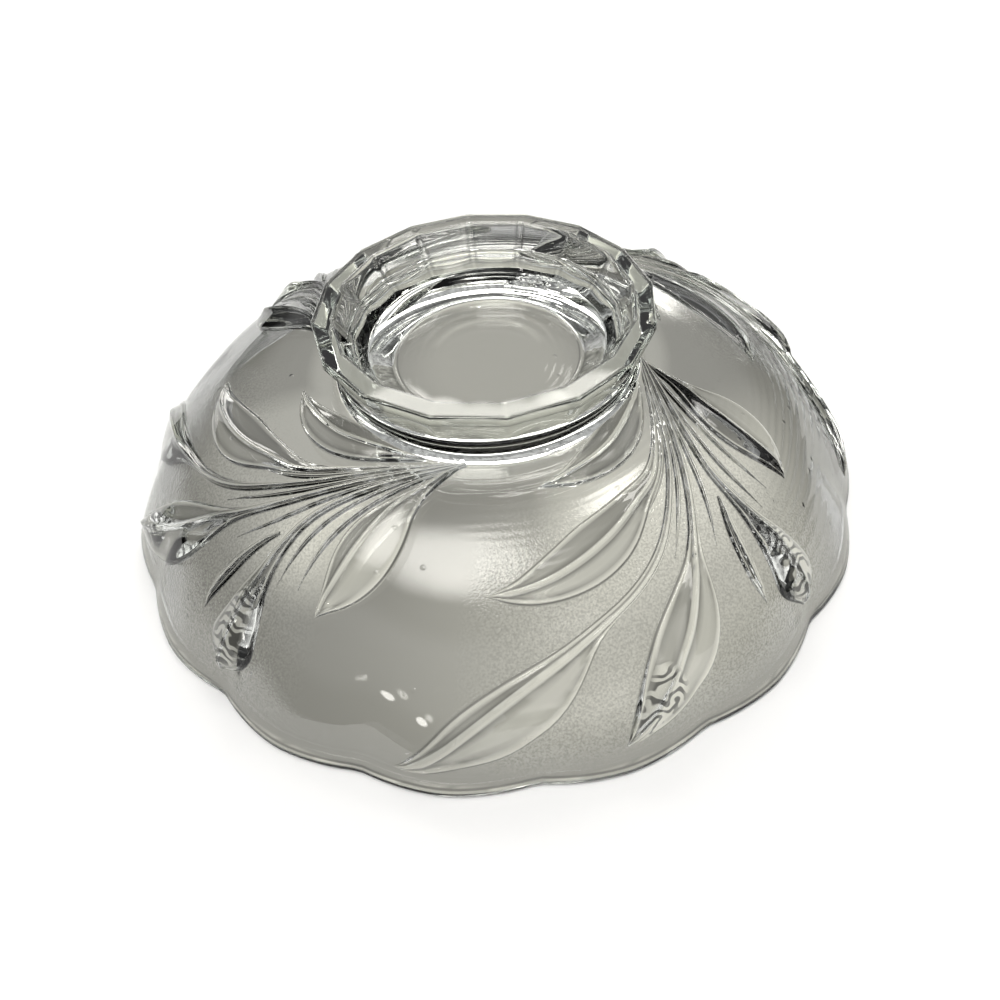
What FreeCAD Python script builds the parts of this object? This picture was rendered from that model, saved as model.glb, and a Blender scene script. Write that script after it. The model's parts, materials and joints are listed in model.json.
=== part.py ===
# A low footed bowl of clear pressed glass for floating candles.
# It is turned over, as photographed: the scalloped rim stands on the ground and the
# sixteen-sided foot points up. Z is up and the origin lies on the ground, below the foot's centre.
import FreeCAD, Part
import math
import os
from FreeCAD import Vector

# Bowl, from the ground at the rim to the flat that carries the foot
rim_radius = 130.0
bowl_height = 46.4
wall = 5.0
shoulder_radius_share = 0.792
shoulder_height_share = 0.668

# Scalloped rim: sixteen lobes between sharp notches, and a deeper notch under each leaf spray
lobe_count = 16
notch_depth = 2.6
deep_notch_depth = 3.6
deep_notch_turn = 49.5

# Collar that joins the bowl to the foot, with a flared root and a bead
collar_height = 9.6
collar_neck_radius = 50.0
collar_root_reach = 3.5
collar_base_radius = collar_neck_radius + collar_root_reach
flat_margin = 0.5
flat_radius = collar_base_radius + flat_margin
collar_root_height = 5.4
bead_swell = 1.2
bead_height = 3.6

# Hollow in the collar and the foot
collar_wall = 9.1
hollow_joint_radius = collar_neck_radius - collar_wall
ledge_step = 1.2
ledge_radius = hollow_joint_radius - ledge_step
ledge_height = 7.0
ledge_reach = 8.2
disc_radius = ledge_radius - ledge_reach

# Sixteen-sided foot that ends in a flange
panel_count = 16
foot_height = 12.4
foot_step = 1.0
foot_neck_radius = collar_neck_radius + foot_step
foot_flare = 3.6
foot_top_radius = foot_neck_radius + foot_flare
flange_overhang = 0.9
flange_radius = foot_top_radius + flange_overhang
flange_thickness = 3.2
flange_bevel = 0.6
ring_width = 8.3
mouth_radius = flange_radius - ring_width
mouth_bevel = 1.0
foot_turn = 6.4

# Leaf sprays: raised glass, where the half of a leaf ahead of its midrib stands higher
spray_count = 4
high_relief = 1.8
low_relief = 1.0
spray_clearance = 0.5
leaf_hem = 1.5
overrun = 1.0

# Leaves of one spray as shares of the rim radius, in the quarter left of and below the centre.
# Each row is a point of the midrib (x, y) and the leaf's width ahead of it and behind it there.
leaf_shares = (
    # Broad leaf behind the others
    ((-0.072, -0.402, 0.005, 0.005), (-0.108, -0.427, 0.008, 0.012), (-0.154, -0.462, 0.014, 0.026),
     (-0.208, -0.500, 0.028, 0.060), (-0.254, -0.546, 0.046, 0.085), (-0.300, -0.600, 0.046, 0.090),
     (-0.338, -0.650, 0.027, 0.064), (-0.377, -0.697, 0, 0)),
    # Long leaf that swells towards the deep notch
    ((-0.054, -0.396, 0.006, 0.006), (-0.246, -0.442, 0.008, 0.008), (-0.338, -0.469, 0.010, 0.009),
     (-0.415, -0.504, 0.012, 0.014), (-0.469, -0.550, 0.016, 0.020), (-0.519, -0.608, 0.034, 0.034),
     (-0.569, -0.665, 0.057, 0.064), (-0.603, -0.699, 0.056, 0.060), (-0.631, -0.724, 0, 0)),
    # Slight leaf in the fork
    ((-0.470, -0.512, 0.004, 0.004), (-0.531, -0.528, 0.013, 0.012), (-0.592, -0.556, 0.018, 0.016),
     (-0.638, -0.582, 0.010, 0.009), (-0.662, -0.600, 0, 0)),
    # Wide leaf that reaches the rim
    ((-0.054, -0.393, 0.006, 0.006), (-0.231, -0.418, 0.007, 0.007), (-0.385, -0.437, 0.009, 0.009),
     (-0.500, -0.441, 0.011, 0.013), (-0.608, -0.431, 0.018, 0.028), (-0.677, -0.420, 0.040, 0.060),
     (-0.738, -0.404, 0.057, 0.074), (-0.800, -0.374, 0.060, 0.066), (-0.862, -0.329, 0.044, 0.040),
     (-0.927, -0.262, 0, 0)),
    # Longest leaf, swept round below the rim
    ((-0.054, -0.390, 0.005, 0.005), (-0.231, -0.401, 0.006, 0.007), (-0.385, -0.407, 0.008, 0.008),
     (-0.500, -0.393, 0.009, 0.010), (-0.608, -0.360, 0.013, 0.010), (-0.708, -0.282, 0.015, 0.008),
     (-0.765, -0.206, 0.016, 0.020), (-0.808, -0.138, 0.018, 0.058), (-0.852, -0.057, 0.026, 0.080),
     (-0.890, 0.019, 0.032, 0.070), (-0.925, 0.100, 0.030, 0.038), (-0.943, 0.162, 0.016, 0.017),
     (-0.946, 0.219, 0, 0)),
    # Large leaf that curls up beside the foot
    ((-0.054, -0.387, 0.004, 0.004), (-0.231, -0.391, 0.006, 0.006), (-0.346, -0.384, 0.011, 0.012),
     (-0.446, -0.362, 0.028, 0.016), (-0.508, -0.319, 0.042, 0.033), (-0.569, -0.269, 0.057, 0.054),
     (-0.615, -0.219, 0.063, 0.060), (-0.654, -0.162, 0.056, 0.054), (-0.682, -0.104, 0.042, 0.041),
     (-0.698, -0.046, 0.022, 0.024), (-0.702, 0.012, 0, 0)),
    # Small leaf close to the foot
    ((-0.185, -0.360, 0.020, 0.020), (-0.215, -0.346, 0.033, 0.034), (-0.292, -0.315, 0.051, 0.050),
     (-0.354, -0.277, 0.055, 0.056), (-0.400, -0.231, 0.044, 0.050), (-0.438, -0.177, 0.025, 0.032),
     (-0.469, -0.106, 0, 0)),
)

full_turn = 360.0
quarter_turn = full_turn / spray_count
axis_foot = Vector(0, 0, 0)
axis_up = Vector(0, 0, 1)

os.makedirs("parts", exist_ok=True)


def at(radius, height):
    """A point of a profile that is turned about the axis."""
    return Vector(radius, 0, height)


def on_circle(radius, degrees, height=0):
    """A point on a level circle about the axis."""
    angle = math.radians(degrees)
    return Vector(radius * math.cos(angle), radius * math.sin(angle), height)


def revolve(edges):
    """The solid that a closed profile makes in a full turn."""
    face = Part.Face(Part.Wire(edges))
    return face.revolve(axis_foot, axis_up, full_turn)


def slope_between(start, end):
    """Slope below level of the straight line from start to end."""
    return math.atan2(start.z - end.z, end.x - start.x)


def falling_arc(start, start_slope, end):
    """Radius and centre of the arc to end that leaves start at start_slope below level."""
    radius = (end - start).Length / (2 * math.sin(slope_between(start, end) - start_slope))
    centre = start - at(radius * math.sin(start_slope), radius * math.cos(start_slope))
    return radius, centre


def arc_edge(centre, radius, slope_from, slope_to):
    """Part of a circle in the profile, between two slopes."""
    slopes = (slope_from, (slope_from + slope_to) / 2, slope_to)
    points = [centre + at(radius * math.sin(s), radius * math.cos(s)) for s in slopes]
    return Part.Arc(*points).toShape()


# The bowl's outside is a flat, a gentle arc and a rim arc that leave each other smoothly
flat_edge = at(flat_radius, bowl_height)
shoulder = at(rim_radius * shoulder_radius_share, bowl_height * shoulder_height_share)
shoulder_slope = 2 * slope_between(flat_edge, shoulder)
crown_arc, crown_centre = falling_arc(flat_edge, 0, shoulder)
rim_arc, rim_centre = falling_arc(shoulder, shoulder_slope, at(rim_radius, 0))


def slope_on_level(radius, level):
    """Slope of the rim arc's circle, grown or shrunk to radius, where it meets a level."""
    return math.acos((level - rim_centre.z) / radius)


def outside_profile(growth, level):
    """The bowl's outside, grown outwards, as edges from the axis to a level above the ground."""
    top = at(0, bowl_height + growth)
    bend = flat_edge + at(0, growth)
    end_slope = slope_on_level(rim_arc + growth, level)
    return [
        Part.LineSegment(top, bend).toShape(),
        arc_edge(crown_centre, crown_arc + growth, 0, shoulder_slope),
        arc_edge(rim_centre, rim_arc + growth, shoulder_slope, end_slope),
    ]


def dome(growth, level):
    """Solid below the grown outside and above a level."""
    edges = outside_profile(growth, level)
    low = edges[-1].Vertexes[-1].Point
    centre = at(0, level)
    edges.append(Part.LineSegment(low, centre).toShape())
    edges.append(Part.LineSegment(centre, edges[0].Vertexes[0].Point).toShape())
    return revolve(edges)


def scallops():
    """Upright block whose outline is the lobed rim, one arc for each lobe."""
    step = full_turn / lobe_count
    notches = []
    crests = []
    for k in range(lobe_count):
        turn = deep_notch_turn + step * k
        is_deep = k % (lobe_count // spray_count) == 0
        depth = deep_notch_depth if is_deep else notch_depth
        notches.append(on_circle(rim_radius - depth, turn, -overrun))
        crests.append(on_circle(rim_radius, turn + step / 2, -overrun))
    following = notches[1:] + notches[:1]
    arcs = [Part.Arc(*points).toShape() for points in zip(notches, crests, following)]
    return Part.Face(Part.Wire(arcs)).extrude(axis_up * (bowl_height + 2 * overrun))


def bowl():
    """Shell of even wall, cut to the lobed rim."""
    inside = dome(-wall, -overrun)
    shell = dome(0, 0).cut(inside)
    return shell.common(scallops())


def collar():
    """Ring on the bowl's flat: a flared root, a bead, and a hollow that steps at a ledge."""
    base = bowl_height
    top = base + collar_height
    bead_foot = top - bead_height
    root = at(collar_base_radius, base)
    neck = at(collar_neck_radius, base + collar_root_height)
    diagonal = math.sqrt(0.5)
    reach = collar_base_radius - collar_neck_radius
    middle_of_root = at(collar_base_radius - reach * diagonal,
                        base + collar_root_height * (1 - diagonal))
    bead_low = at(collar_neck_radius, bead_foot)
    bead_crest = at(collar_neck_radius + bead_swell, top - bead_height / 2)
    bead_top = at(collar_neck_radius, top)
    joint = at(hollow_joint_radius, top)
    ledge = at(ledge_radius, base + ledge_height)
    disc = at(disc_radius, base)
    return revolve([
        Part.Arc(root, middle_of_root, neck).toShape(),
        Part.LineSegment(neck, bead_low).toShape(),
        Part.Arc(bead_low, bead_crest, bead_top).toShape(),
        Part.LineSegment(bead_top, joint).toShape(),
        Part.LineSegment(joint, ledge).toShape(),
        Part.LineSegment(ledge, disc).toShape(),
        Part.LineSegment(disc, root).toShape(),
    ])


def polygon(radius, height):
    """Level sixteen-sided outline with its corners on a circle."""
    step = full_turn / panel_count
    corners = [on_circle(radius, foot_turn + step * k, height) for k in range(panel_count)]
    return Part.makePolygon(corners + corners[:1])


def tapered(radii, heights):
    """Solid with sixteen flat sides through level outlines at rising heights."""
    outlines = [polygon(radius, height) for radius, height in zip(radii, heights)]
    return Part.makeLoft(outlines, True, True)


foot_base = bowl_height + collar_height
foot_top = foot_base + foot_height
flange_base = foot_top - flange_thickness
mouth_base = foot_top - mouth_bevel


def foot_hollow():
    """Panelled hollow that widens from the collar's joint to a bevelled mouth."""
    across_corners = 1 / math.cos(math.pi / panel_count)
    radii = (hollow_joint_radius, mouth_radius, mouth_radius + mouth_bevel)
    corner_radii = [radius * across_corners for radius in radii]
    return tapered(corner_radii, (foot_base, mouth_base, foot_top))


def foot():
    """Sixteen-sided pedestal that flares from the collar to the flange."""
    pedestal = tapered((foot_neck_radius, foot_top_radius), (foot_base, flange_base))
    return pedestal.cut(foot_hollow())


def foot_flange():
    """Sixteen-sided standing ring with bevelled edges."""
    radii = (flange_radius, flange_radius, flange_radius - flange_bevel)
    ring = tapered(radii, (flange_base, foot_top - flange_bevel, foot_top))
    return ring.cut(foot_hollow())


def plan_curve(points):
    """Smooth level curve through a row of points."""
    curve = Part.BSplineCurve()
    curve.interpolate(points)
    return curve


def leaf_curves(shares):
    """Midrib of a leaf and its edges ahead and behind, each from the stem to the tip."""
    ribs = [Vector(x, y, 0) * rim_radius for x, y, ahead, behind in shares]
    midrib = plan_curve(ribs)
    edge_ahead = []
    edge_behind = []
    for rib, (x, y, ahead, behind) in zip(ribs, shares):
        along = midrib.tangent(midrib.parameter(rib))[0]
        across = Vector(along.y, -along.x, 0)
        edge_ahead.append(rib + across * (ahead * rim_radius))
        edge_behind.append(rib - across * (behind * rim_radius))
    return midrib.toShape(), plan_curve(edge_ahead).toShape(), plan_curve(edge_behind).toShape()


def half_leaf(edge, midrib, layer):
    """One side of a leaf: the relief layer inside the outline between an edge and the midrib."""
    stem = Part.LineSegment(midrib.Vertexes[0].Point, edge.Vertexes[0].Point).toShape()
    block = Part.Face(Part.Wire([stem, edge, midrib])).extrude(axis_up * (bowl_height + high_relief))
    return layer.common(block)


def relief_layer(relief):
    """Layer of glass on the bowl's outside, from the collar's root to just above the ground."""
    layer = dome(relief, leaf_hem).cut(dome(0, 0))
    inner = Part.makeCylinder(collar_base_radius + spray_clearance, bowl_height + relief + overrun)
    return layer.cut(inner)


def leaf_spray():
    """Seven leaves that fan out from one stem, each stepped at its midrib."""
    high_layer = relief_layer(high_relief)
    low_layer = relief_layer(low_relief)
    halves = []
    for shares in leaf_shares:
        midrib, edge_ahead, edge_behind = leaf_curves(shares)
        halves.append(half_leaf(edge_ahead, midrib, high_layer))
        halves.append(half_leaf(edge_behind, midrib, low_layer))
    return halves[0].multiFuse(halves[1:])


def save(name, solids):
    """Writes one sub-part and prints what it holds."""
    shape = solids[0] if len(solids) == 1 else Part.makeCompound(solids)
    shape.exportStep("parts/" + name + ".step")
    print(name, "solids", len(shape.Solids), "volume", round(shape.Volume), "valid", shape.isValid())


save("bowl", bowl().Solids)
save("collar", collar().Solids)
save("foot", foot().Solids)
save("foot_flange", foot_flange().Solids)
spray = leaf_spray()
for k in range(spray_count):
    turned = spray.copy()
    turned.rotate(axis_foot, axis_up, quarter_turn * k)
    save("leaf_spray_" + str(k + 1), turned.Solids)
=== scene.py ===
# %% [markdown]
# A low footed bowl of clear pressed glass, turned over so that its scalloped rim stands on the
# table and its sixteen-sided foot points up. The real bowl is one pressing: a gob of hot glass is
# squeezed between an iron mould and a plunger, so every rib, leaf and panel is the same glass.
# This script starts from the construction model, which gives the place and size of everything.

# %% Load the construction model
import bpy
import bmesh
import json
import math
import numpy as np
from mathutils import Matrix, Vector

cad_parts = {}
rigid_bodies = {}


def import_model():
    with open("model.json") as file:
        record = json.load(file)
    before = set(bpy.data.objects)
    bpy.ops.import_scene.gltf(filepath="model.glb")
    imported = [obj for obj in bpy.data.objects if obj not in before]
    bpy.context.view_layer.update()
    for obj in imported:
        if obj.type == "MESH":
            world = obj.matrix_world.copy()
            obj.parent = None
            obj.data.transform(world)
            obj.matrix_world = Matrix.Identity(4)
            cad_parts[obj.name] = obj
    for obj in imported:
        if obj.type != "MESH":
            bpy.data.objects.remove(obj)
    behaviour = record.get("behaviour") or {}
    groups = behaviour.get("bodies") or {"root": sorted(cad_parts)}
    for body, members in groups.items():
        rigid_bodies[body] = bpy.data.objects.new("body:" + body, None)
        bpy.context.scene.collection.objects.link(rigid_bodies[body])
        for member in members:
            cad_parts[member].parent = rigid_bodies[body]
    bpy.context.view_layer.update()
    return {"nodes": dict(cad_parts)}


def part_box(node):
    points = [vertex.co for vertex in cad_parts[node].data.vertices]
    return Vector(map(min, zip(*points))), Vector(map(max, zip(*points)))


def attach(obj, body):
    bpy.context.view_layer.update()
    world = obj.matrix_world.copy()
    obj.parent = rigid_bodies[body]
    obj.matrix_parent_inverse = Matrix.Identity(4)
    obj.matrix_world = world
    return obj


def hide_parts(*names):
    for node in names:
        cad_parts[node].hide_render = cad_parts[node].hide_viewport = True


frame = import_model()

# %% [markdown]
# Lengths are in metres. The heights are read from the construction model, so that the glass skin
# stays where the solids are. The radii of the profile are the sizes of the real bowl.

# %% Sizes of the bowl
mm = 0.001
bowl_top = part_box("bowl")[1].z
collar_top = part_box("collar")[1].z
flange_base, foot_top = (corner.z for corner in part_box("foot_flange"))
rim_radius = 130 * mm
wall = 5 * mm
flat_radius = 54 * mm
shoulder_radius = 0.792 * rim_radius
shoulder_height = 0.668 * bowl_top
spray_count = 4
lobe_count = 16
panel_count = 16
print("tops of bowl, collar and foot:", [round(top, 4) for top in (bowl_top, collar_top, foot_top)])

# %% [markdown]
# The outside of the dish is a flat, a gentle arc and a steeper arc towards the rim. Each arc
# leaves the one before it in the same direction, so the light runs over the joint unbroken.
# Everything that sits on the dish asks this one helper where the glass is.

# %% The dish as two tangent arcs
def falling_arc(start, start_slope, end):
    """Radius, centre and end slope of the arc from start to end that leaves at start_slope."""
    chord = math.atan2(start[1] - end[1], end[0] - start[0])
    radius = math.dist(start, end) / (2 * math.sin(chord - start_slope))
    centre = (start[0] - radius * math.sin(start_slope), start[1] - radius * math.cos(start_slope))
    return radius, centre, 2 * chord - start_slope


crown_arc, crown_centre, shoulder_slope = falling_arc((flat_radius, bowl_top), 0,
                                                      (shoulder_radius, shoulder_height))
rim_arc, rim_centre, rim_slope = falling_arc((shoulder_radius, shoulder_height), shoulder_slope,
                                             (rim_radius, 0))


def dish_point(radius, lift):
    """Radius and height of the point that stands lift above the dish's outside at radius."""
    if radius <= flat_radius:
        return radius, bowl_top + lift
    arc, centre = (crown_arc, crown_centre) if radius <= shoulder_radius else (rim_arc, rim_centre)
    slope = math.asin(min(1, (radius - centre[0]) / arc))
    return radius + lift * math.sin(slope), centre[1] + arc * math.cos(slope) + lift * math.cos(slope)


def arc_points(centre, arc, slope_from, slope_to, count):
    """Evenly spaced points of an arc in the profile, both ends included."""
    slopes = np.linspace(slope_from, slope_to, count)
    return [(centre[0] + arc * math.sin(s), centre[1] + arc * math.cos(s)) for s in slopes]


print("dish arcs:", round(crown_arc, 4), round(rim_arc, 4), "rim slope:", round(math.degrees(rim_slope), 1))

# %% [markdown]
# The whole pressing is turned from one closed profile: the disc inside the foot, the stepped
# hollow, the standing ring, the flange, the beaded collar, the dish, the fire-polished rim and the
# plunger's smooth inside. Sharp corners of the profile are rounded with a vertex bevel, because
# glass never fills a mould's corner, and the round edges are what catches the light.

# %% Draw the profile
disc_radius = 31.5 * mm
ledge_radius, ledge_height = 39.7 * mm, bowl_top + 7 * mm
hollow_joint_radius = 40.9 * mm
mouth_radius, mouth_bevel = 47.2 * mm, 1.0 * mm
flange_radius, flange_bevel = 55.5 * mm, 0.6 * mm
foot_top_radius, foot_neck_radius = 54.6 * mm, 51.0 * mm
collar_neck_radius, bead_swell, bead_height = 50.0 * mm, 1.2 * mm, 3.6 * mm
collar_base_radius, collar_root_height = 53.5 * mm, 5.4 * mm
rim_rounding = 1.9 * mm

profile = bmesh.new()


def draw(points):
    """Adds points to the open end of the profile and returns the new vertices."""
    added = []
    for radius, height in points:
        vert = profile.verts.new((radius, 0, height))
        profile.verts.ensure_lookup_table()
        if len(profile.verts) > 1:
            profile.edges.new((profile.verts[-2], vert))
        added.append(vert)
    return added


def between(start, end, count):
    """Points that divide a straight stretch of the profile."""
    return [tuple(Vector(start).lerp(Vector(end), k / (count + 1))) for k in range(1, count + 1)]


corners = {}
disc_edge, ledge_edge = (disc_radius, bowl_top), (ledge_radius, ledge_height)
joint, mouth_low = (hollow_joint_radius, collar_top), (mouth_radius, foot_top - mouth_bevel)
mouth_high = (mouth_radius + mouth_bevel, foot_top)
draw([(radius * mm, bowl_top) for radius in (0, 15.5, 17, 18.5, 20.5, 22, 23.2, 25, 29.5)])
corners["disc"] = draw([disc_edge])
draw(between(disc_edge, ledge_edge, 5))
corners["ledge"] = draw([ledge_edge])
draw([joint])
draw(between(joint, mouth_low, 7))
corners["mouth"] = draw([mouth_low, mouth_high])
draw(between(mouth_high, (flange_radius - flange_bevel, foot_top), 4))
corners["flange"] = draw([(flange_radius - flange_bevel, foot_top),
                          (flange_radius, foot_top - flange_bevel), (flange_radius, flange_base)])
corners["neck"] = draw([(foot_top_radius, flange_base), (foot_neck_radius, collar_top)])
bead_middle = collar_top - bead_height / 2
bead_half = bead_height / 2
draw([(collar_neck_radius + bead_swell * math.cos(t), bead_middle + bead_half * math.sin(t))
      for t in np.linspace(math.radians(80), math.radians(-80), 9)])
root_reach = collar_base_radius - collar_neck_radius
draw([(collar_base_radius - root_reach * math.cos(t), bowl_top + collar_root_height * (1 - math.sin(t)))
      for t in np.linspace(0, math.radians(84), 8)])
draw(arc_points(crown_centre, crown_arc, math.radians(1.2), shoulder_slope, 26))
rim_rows = [rim_slope - distance * mm / rim_arc for distance in (4.5, 4.0, 3.6, 3.2, 2.8, 2.1)]
draw(arc_points(rim_centre, rim_arc, shoulder_slope, rim_rows[0], 26)[1:])
for slope in rim_rows[1:]:
    draw(arc_points(rim_centre, rim_arc, slope, slope, 1))
inner_rim_slope = math.acos(-rim_centre[1] / (rim_arc - wall))
inner_rim_radius = rim_centre[0] + (rim_arc - wall) * math.sin(inner_rim_slope)
corners["rim"] = draw([(rim_radius, 0), (inner_rim_radius, 0)])
draw(arc_points(rim_centre, rim_arc - wall, inner_rim_slope, shoulder_slope, 18)[1:])
draw(arc_points(crown_centre, crown_arc - wall, shoulder_slope, 0, 14)[1:])
draw([(flat_radius * 0.5, bowl_top - wall), (0, bowl_top - wall)])

rounding = {"disc": 0.9 * mm, "ledge": 0.5 * mm, "mouth": 0.5 * mm, "flange": 0.28 * mm,
            "neck": 0.3 * mm, "rim": rim_rounding}
for name, verts in corners.items():
    bmesh.ops.bevel(profile, geom=verts, offset=rounding[name], offset_type="OFFSET", segments=4,
                    profile=0.5, affect="VERTICES", clamp_overlap=True, material=-1)
print("profile points:", len(profile.verts))

# %% [markdown]
# The profile is spun through one panel of the foot, and that wedge is doubled four times, which
# is much quicker than one full spin. A row of vertices lies on each corner of the foot, and the
# seams and both poles are closed by merging what coincides.

# %% Turn the profile
foot_turn = math.radians(6.4)
panel_step = 2 * math.pi / panel_count
steps_per_panel = 16

body = profile
bmesh.ops.rotate(body, verts=body.verts, cent=(0, 0, 0), matrix=Matrix.Rotation(foot_turn, 3, "Z"))
bmesh.ops.spin(body, geom=body.verts[:] + body.edges[:], cent=(0, 0, 0), axis=(0, 0, 1), dvec=(0, 0, 0),
               angle=panel_step, steps=steps_per_panel, use_merge=False, use_duplicate=False)
for wedges in (1, 2, 4, 8):
    twin = bmesh.ops.duplicate(body, geom=body.verts[:] + body.edges[:] + body.faces[:])
    twin_verts = [item for item in twin["geom"] if isinstance(item, bmesh.types.BMVert)]
    turn = Matrix.Rotation(wedges * panel_step, 3, "Z")
    bmesh.ops.rotate(body, verts=twin_verts, cent=(0, 0, 0), matrix=turn)
bmesh.ops.remove_doubles(body, verts=body.verts, dist=0.01 * mm)
bmesh.ops.recalc_face_normals(body, faces=body.faces)
print("turned body:", len(body.verts), "vertices,", len(body.faces), "faces")

# %% [markdown]
# The mould gives the foot sixteen flat panels and the rim sixteen lobes with sharp notches between
# them. Both are changes of radius that depend on the direction from the axis, so the turned body
# only needs its vertices moved in or out. The lobes fade away up the side of the dish.

# %% Press the panels and the lobes
lobe_step = 2 * math.pi / lobe_count
deep_notch_turn = math.radians(49.5)
notch_depth, deep_notch_depth = 2.6 * mm, 3.6 * mm
lobe_reach = 30 * mm
panel_blend, panel_margin = 0.8 * mm, 0.4 * mm


def from_panel_middle(azimuth):
    """Angle of a direction from the middle of its flat panel."""
    return (azimuth - foot_turn) % panel_step - panel_step / 2


def lobe_cut(azimuth, height):
    """How far the rim's lobes pull the glass in at a place."""
    turn = ((azimuth - deep_notch_turn) % (2 * math.pi)) / lobe_step
    nearest = round(turn)
    depth = deep_notch_depth if nearest % (lobe_count // spray_count) == 0 else notch_depth
    arch = 1 - abs(2 * (turn % 1) - 1) ** 1.6
    fade = max(0, 1 - height / lobe_reach)
    return depth * (1 - arch) * fade * fade * (3 - 2 * fade)


def press(vert_place):
    """Moves a point of the turned body to its place in the panelled and lobed pressing."""
    x, y, z = vert_place
    radius = math.hypot(x, y)
    azimuth = math.atan2(y, x)
    if z > collar_top - 0.01 * mm:
        across = math.cos(from_panel_middle(azimuth))
        is_hollow = radius < mouth_radius + mouth_bevel + panel_margin
        factor = 1 / across if is_hollow else math.cos(panel_step / 2) / across
        factor = 1 + (factor - 1) * (min(1, (z - collar_top) / panel_blend) if is_hollow else 1)
        return x * factor, y * factor, z
    if z < lobe_reach and radius > flat_radius:
        factor = 1 - lobe_cut(azimuth, z) / radius
        return x * factor, y * factor, z
    return x, y, z


for vert in body.verts:
    vert.co = press(vert.co)
print("rim radius at a crest and a deep notch:",
      [round(rim_radius - lobe_cut(deep_notch_turn + turn, 0), 4) for turn in (lobe_step / 2, 0)])

# %% [markdown]
# Each spray has seven leaves. A leaf is drawn by its midrib and by its width on either side, as
# shares of the rim's radius, in the quarter left of and below the centre. A cubic spline runs
# through the rows, so a few given rows give a smooth outline.

# %% The leaves of one spray
leaf_rows = {
    "broad": ((-0.072, -0.402, 0.005, 0.005), (-0.108, -0.427, 0.008, 0.012), (-0.154, -0.462, 0.014, 0.026),
              (-0.208, -0.500, 0.028, 0.060), (-0.254, -0.546, 0.046, 0.085), (-0.300, -0.600, 0.046, 0.090),
              (-0.338, -0.650, 0.027, 0.064), (-0.377, -0.697, 0, 0)),
    "notch": ((-0.054, -0.396, 0.006, 0.006), (-0.246, -0.442, 0.008, 0.008), (-0.338, -0.469, 0.010, 0.009),
              (-0.415, -0.504, 0.012, 0.014), (-0.469, -0.550, 0.016, 0.020), (-0.519, -0.608, 0.034, 0.034),
              (-0.569, -0.665, 0.057, 0.064), (-0.603, -0.699, 0.056, 0.060), (-0.631, -0.724, 0, 0)),
    "slight": ((-0.470, -0.512, 0.004, 0.004), (-0.531, -0.528, 0.013, 0.012), (-0.592, -0.556, 0.018, 0.016),
               (-0.638, -0.582, 0.010, 0.009), (-0.662, -0.600, 0, 0)),
    "wide": ((-0.054, -0.393, 0.006, 0.006), (-0.231, -0.418, 0.007, 0.007), (-0.385, -0.437, 0.009, 0.009),
             (-0.500, -0.441, 0.011, 0.013), (-0.608, -0.431, 0.018, 0.028), (-0.677, -0.420, 0.040, 0.060),
             (-0.738, -0.404, 0.057, 0.074), (-0.800, -0.374, 0.060, 0.066), (-0.862, -0.329, 0.044, 0.040),
             (-0.927, -0.262, 0, 0)),
    "long": ((-0.054, -0.390, 0.005, 0.005), (-0.231, -0.401, 0.006, 0.007), (-0.385, -0.407, 0.008, 0.008),
             (-0.500, -0.393, 0.009, 0.010), (-0.608, -0.360, 0.013, 0.010), (-0.708, -0.282, 0.015, 0.008),
             (-0.765, -0.206, 0.016, 0.020), (-0.808, -0.138, 0.018, 0.058), (-0.852, -0.057, 0.026, 0.080),
             (-0.890, 0.019, 0.032, 0.070), (-0.925, 0.100, 0.030, 0.038), (-0.943, 0.162, 0.016, 0.017),
             (-0.946, 0.219, 0, 0)),
    "curled": ((-0.054, -0.387, 0.004, 0.004), (-0.231, -0.391, 0.006, 0.006), (-0.346, -0.384, 0.011, 0.012),
               (-0.446, -0.362, 0.028, 0.016), (-0.508, -0.319, 0.042, 0.033), (-0.569, -0.269, 0.057, 0.054),
               (-0.615, -0.219, 0.063, 0.060), (-0.654, -0.162, 0.056, 0.054), (-0.682, -0.104, 0.042, 0.041),
               (-0.698, -0.046, 0.022, 0.024), (-0.702, 0.012, 0, 0)),
    "small": ((-0.140, -0.374, 0.003, 0.003), (-0.215, -0.350, 0.026, 0.026), (-0.292, -0.315, 0.051, 0.050),
              (-0.354, -0.277, 0.055, 0.056), (-0.400, -0.231, 0.044, 0.050), (-0.438, -0.177, 0.025, 0.032),
              (-0.469, -0.106, 0, 0)),
}
strand_rows = {
    "low": ((-0.100, -0.412, 0.004, 0.004), (-0.190, -0.447, 0.006, 0.006), (-0.285, -0.500, 0.007, 0.007),
            (-0.365, -0.565, 0.006, 0.006), (-0.420, -0.640, 0, 0)),
    "lower": ((-0.090, -0.404, 0.004, 0.004), (-0.210, -0.440, 0.005, 0.005), (-0.320, -0.487, 0.006, 0.006),
              (-0.400, -0.540, 0.006, 0.006), (-0.470, -0.620, 0, 0)),
    "middle": ((-0.090, -0.398, 0.004, 0.004), (-0.240, -0.428, 0.005, 0.005), (-0.380, -0.458, 0.007, 0.007),
               (-0.480, -0.480, 0.006, 0.006), (-0.580, -0.490, 0, 0)),
    "upper": ((-0.090, -0.393, 0.004, 0.004), (-0.240, -0.410, 0.005, 0.005), (-0.380, -0.421, 0.006, 0.006),
              (-0.500, -0.415, 0.006, 0.006), (-0.620, -0.390, 0, 0)),
    "high": ((-0.090, -0.386, 0.004, 0.004), (-0.240, -0.396, 0.005, 0.005), (-0.360, -0.396, 0.006, 0.006),
             (-0.450, -0.378, 0.006, 0.006), (-0.540, -0.335, 0, 0)),
}


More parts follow.
